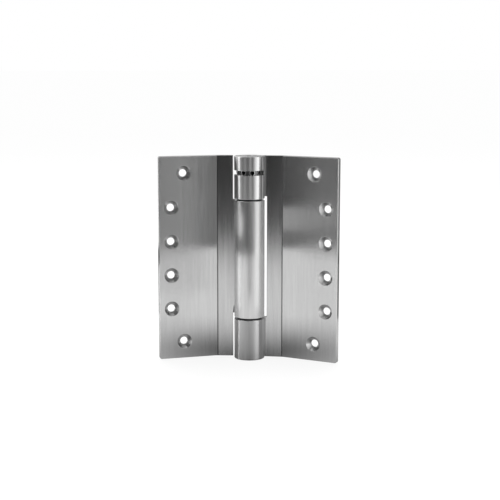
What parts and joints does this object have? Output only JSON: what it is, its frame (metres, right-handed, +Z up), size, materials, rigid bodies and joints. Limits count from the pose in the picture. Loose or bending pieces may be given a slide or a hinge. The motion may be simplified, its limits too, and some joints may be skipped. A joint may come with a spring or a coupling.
{
  "type": "self-closing gate hinge",
  "caption": "Heavy stainless butt-style spring hinge: two bent leaves with countersunk screw holes on a barrel that holds a torsion spring, wound at a slotted ring in the top knuckle.",
  "frame": {"origin": "on the barrel axis, on the outer face of the bottom cap, which is level with both leaves' lower edges", "axes": "+Z up along the barrel; -Y is square out of the post leaf's front, countersunk face; the post leaf reaches to -X and the gate leaf to +X and forward"},
  "size_m": [0.1252, 0.052, 0.1524],
  "materials": {
    "leaf_steel": "vertical brush grain, satin",
    "cap_steel": "turned, satin",
    "pin_steel": "ground",
    "black_steel": "black oxide, oiled",
    "spring_steel": "oiled dark",
    "bronze": "sintered, oiled",
    "polymer": "moulded"
  },
  "bodies": {
    "post_side": {"post_leaf": "leaf_steel", "centre_top_bush": "bronze", "centre_bottom_bush": "bronze", "upper_thrust_washer": "black_steel", "torsion_spring": "spring_steel", "spring_guide": "polymer", "spring_anchor": "pin_steel", "anchor_dowel": "pin_steel"},
    "gate_side": {"gate_leaf": "leaf_steel", "top_cap": "cap_steel", "bottom_cap": "cap_steel", "ring_washer": "polymer", "top_bush": "bronze", "lower_thrust_washer": "black_steel", "bottom_bush": "bronze", "pivot_pin": "pin_steel", "pivot_dowel": "pin_steel"},
    "tension_unit": {"tension_ring": "black_steel", "stop_pin": "pin_steel", "tension_spindle": "black_steel", "spindle_clip": "spring_steel"}
  },
  "joints": [
    {"name": "leaf_swing", "type": "hinge", "parent": "post_side", "child": "gate_side", "pos_m": [0, 0, 0.0762], "axis": [0, 0, -1], "range_deg": [-43, 137], "stiffness_Nm_per_rad": 0.76, "deforming": ["torsion_spring"]},
    {"name": "tension_turn", "type": "hinge", "parent": "gate_side", "child": "tension_unit", "pos_m": [0, 0, 0.1403], "axis": [0, 0, 1], "range_deg": [0, 185], "stiffness_Nm_per_rad": 0.76, "deforming": ["torsion_spring"]}
  ]
}
